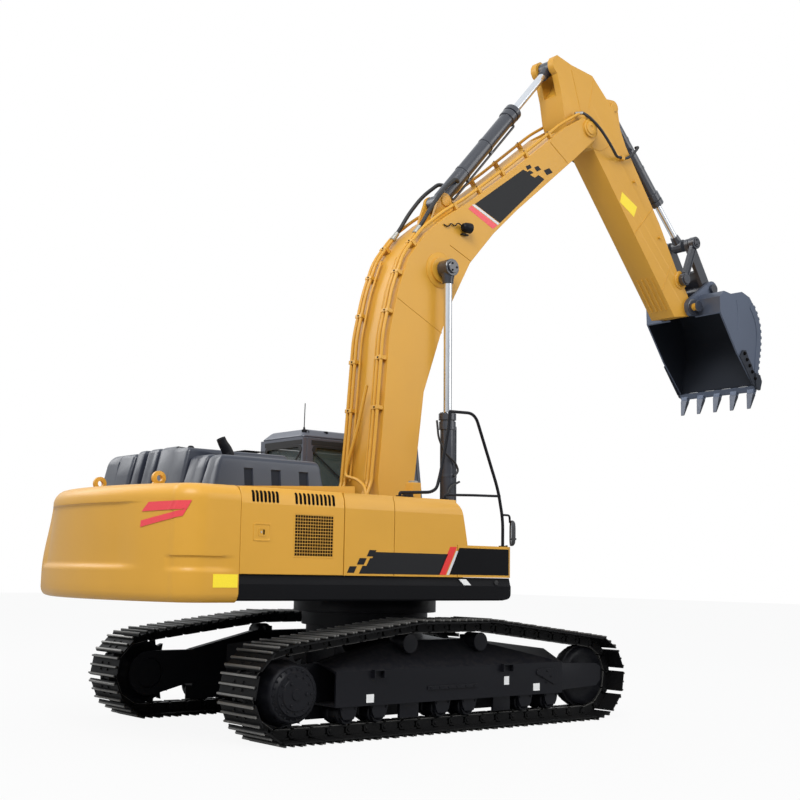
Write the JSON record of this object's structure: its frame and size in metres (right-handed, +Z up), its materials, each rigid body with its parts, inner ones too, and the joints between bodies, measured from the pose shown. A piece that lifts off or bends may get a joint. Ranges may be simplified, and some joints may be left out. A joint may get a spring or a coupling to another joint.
{
  "type": "crawler excavator",
  "caption": "Crawler excavator with slewing house, cab beside a raised boom, arm, bucket linkage and toothed digging bucket, standing on two tracks",
  "frame": {"origin": "centre of the footprint of the parked machine, on the ground", "axes": "+X forward along the tracks and the boom, +Y to the driver's left, +Z up"},
  "size_m": [10.028, 3.19, 8.2922],
  "materials": {
    "yellow_paint": "satin yellow-ochre paint",
    "black_paint": "satin blue-black paint",
    "cab_shell": "satin blue-black paint",
    "hood_shell": "moulded dark blue-grey skin",
    "track_steel": "blackened steel, worn bright at the grouser edges",
    "rod_chrome": "polished chrome",
    "bucket_steel": "satin blue-black paint, worn at the teeth",
    "window_glass": "clear tinted glass",
    "hose_rubber": "black rubber hose",
    "seat_fabric": "dark woven fabric",
    "engine_block": "plain dark block"
  },
  "bodies": {
    "undercarriage": {"car_body": "black_paint", "track_frame_left": "black_paint", "track_frame_right": "black_paint", "track_left": "track_steel", "track_right": "track_steel", "final_drive_left": "black_paint", "final_drive_right": "black_paint", "idler_left": "black_paint", "idler_right": "black_paint"},
    "house": {"revolving_frame": "black_paint", "skirt_right": "black_paint", "skirt_left": "black_paint", "counterweight": "yellow_paint", "engine": "engine_block", "house_frame": "yellow_paint", "hydraulic_tank": "yellow_paint", "fuel_tank": "yellow_paint", "tool_box": "black_paint", "cab_floor": "cab_shell", "cab_rear_panel": "cab_shell", "cab_right_panel": "cab_shell", "cab_left_panel": "cab_shell", "cab_front_frame": "cab_shell", "cab_roof": "cab_shell", "windscreen": "window_glass", "rear_window": "window_glass", "right_window": "window_glass", "operator_seat": "seat_fabric", "control_console": "black_paint", "handrail_right": "black_paint"},
    "hood": {"engine_hood": "hood_shell", "exhaust_pipe": "black_paint"},
    "pump_door_leaf": {"pump_door": "yellow_paint"},
    "radiator_door_leaf": {"radiator_door": "yellow_paint"},
    "filter_door_leaf": {"filter_door": "yellow_paint"},
    "tool_box_cover": {"tool_box_lid": "yellow_paint"},
    "cab_door_leaf": {"cab_door": "cab_shell", "cab_door_glass": "window_glass"},
    "boom_body": {"boom": "yellow_paint", "boom_pipes": "yellow_paint", "knee_hose_left": "hose_rubber", "knee_hose_right": "hose_rubber", "nose_hose_left": "hose_rubber", "nose_hose_right": "hose_rubber"},
    "lift_barrels": {"boom_cylinder_left": "black_paint", "boom_cylinder_right": "black_paint"},
    "lift_rods": {"boom_rod_left": "rod_chrome", "boom_rod_right": "rod_chrome"},
    "arm_barrel": {"arm_cylinder": "black_paint"},
    "arm_ram_rod": {"arm_rod": "rod_chrome"},
    "arm_body": {"arm": "yellow_paint", "arm_hose_left": "hose_rubber", "arm_hose_right": "hose_rubber"},
    "bucket_barrel": {"bucket_cylinder": "black_paint"},
    "bucket_ram_rod": {"bucket_rod": "rod_chrome"},
    "rockers": {"rocker_left": "black_paint", "rocker_right": "black_paint"},
    "link": {"bucket_link": "black_paint"},
    "bucket_body": {"bucket": "bucket_steel", "bucket_lip": "bucket_steel"}
  },
  "joints": [
    {"name": "slew", "type": "hinge", "parent": "undercarriage", "child": "house", "pos_m": [-1.584, 0, 1.13], "axis": [0, 0, 1], "continuous": true},
    {"name": "boom_lift", "type": "hinge", "parent": "house", "child": "boom_body", "pos_m": [-1.484, 0, 2.05], "axis": [0, -1, 0], "range_deg": [-95, 2]},
    {"name": "boom_cylinder_swing", "type": "hinge", "parent": "house", "child": "lift_barrels", "pos_m": [-0.784, 0, 1.5], "axis": [0, -1, 0], "range_deg": [-101, 3]},
    {"name": "boom_cylinder_stroke", "type": "slide", "parent": "lift_barrels", "child": "lift_rods", "axis": [-0.0107, 0, 0.9999], "range_m": [-1.295, 0.03]},
    {"name": "arm_swing", "type": "hinge", "parent": "boom_body", "child": "arm_body", "pos_m": [1.76, 0, 7.385], "axis": [0, 1, 0], "range_deg": [-58, 43], "deforming": ["nose_hose_left", "nose_hose_right"]},
    {"name": "arm_cylinder_swing", "type": "hinge", "parent": "boom_body", "child": "arm_barrel", "pos_m": [-0.609, 0, 5.945], "axis": [0, 1, 0], "range_deg": [-3.7, 2.8], "deforming": ["knee_hose_left", "knee_hose_right"]},
    {"name": "arm_cylinder_stroke", "type": "slide", "parent": "arm_barrel", "child": "arm_ram_rod", "axis": [0.6523, 0, 0.7579], "range_m": [-0.8, 0.59]},
    {"name": "bucket_curl", "type": "hinge", "parent": "arm_body", "child": "bucket_body", "pos_m": [3.946, 0, 5.32], "axis": [0, 1, 0], "range_deg": [-25, 125]},
    {"name": "rocker_swing", "type": "hinge", "parent": "arm_body", "child": "rockers", "pos_m": [3.766, 0, 5.69], "axis": [0, 1, 0], "range_deg": [-19.3, 96]},
    {"name": "link_swing", "type": "hinge", "parent": "bucket_body", "child": "link", "pos_m": [4.406, 0, 5.65], "axis": [0, 1, 0], "range_deg": [-63.2, 12.8]},
    {"name": "bucket_cylinder_swing", "type": "hinge", "parent": "arm_body", "child": "bucket_barrel", "pos_m": [2.446, 0, 7.9], "axis": [0, 1, 0], "range_deg": [-1.6, 7.4], "deforming": ["arm_hose_left", "arm_hose_right"]},
    {"name": "bucket_cylinder_stroke", "type": "slide", "parent": "bucket_barrel", "child": "bucket_ram_rod", "axis": [0.6915, 0, -0.7224], "range_m": [-0.175, 0.865]},
    {"name": "hood_lift", "type": "hinge", "parent": "house", "child": "hood", "pos_m": [-2.85, 0, 2.378], "axis": [0, 1, 0], "range_deg": [0, 60]},
    {"name": "pump_door_swing", "type": "hinge", "parent": "house", "child": "pump_door_leaf", "pos_m": [-3.019, -1.49, 1.9], "axis": [0, 0, 1], "range_deg": [0, 100]},
    {"name": "radiator_door_swing", "type": "hinge", "parent": "house", "child": "radiator_door_leaf", "pos_m": [-3.089, 1.49, 1.9], "axis": [0, 0, -1], "range_deg": [0, 90]},
    {"name": "filter_door_swing", "type": "hinge", "parent": "house", "child": "filter_door_leaf", "pos_m": [-3.079, 1.49, 1.9], "axis": [0, 0, 1], "range_deg": [0, 90]},
    {"name": "tool_box_lid_lift", "type": "hinge", "parent": "house", "child": "tool_box_cover", "pos_m": [-1.417, -0.965, 1.843], "axis": [0, -1, 0], "range_deg": [0, 85]},
    {"name": "cab_door_swing", "type": "hinge", "parent": "house", "child": "cab_door_leaf", "pos_m": [-1.83, 1.46, 2.3], "axis": [0, 0, 1], "range_deg": [0, 165]}
  ],
  "couplings": [
    {"joint": "boom_cylinder_swing", "follows": "boom_lift", "ratio": 1.0535},
    {"joint": "boom_cylinder_stroke", "follows": "boom_lift", "m_per_rad": 0.7772},
    {"joint": "arm_cylinder_swing", "follows": "arm_swing", "ratio": 0.0609},
    {"joint": "arm_cylinder_stroke", "follows": "arm_swing", "m_per_rad": 0.779},
    {"joint": "rocker_swing", "follows": "bucket_curl", "ratio": 0.7656},
    {"joint": "link_swing", "follows": "bucket_curl", "ratio": -0.504},
    {"joint": "bucket_cylinder_swing", "follows": "bucket_curl", "ratio": 0.058},
    {"joint": "bucket_cylinder_stroke", "follows": "bucket_curl", "m_per_rad": 0.3937}
  ]
}
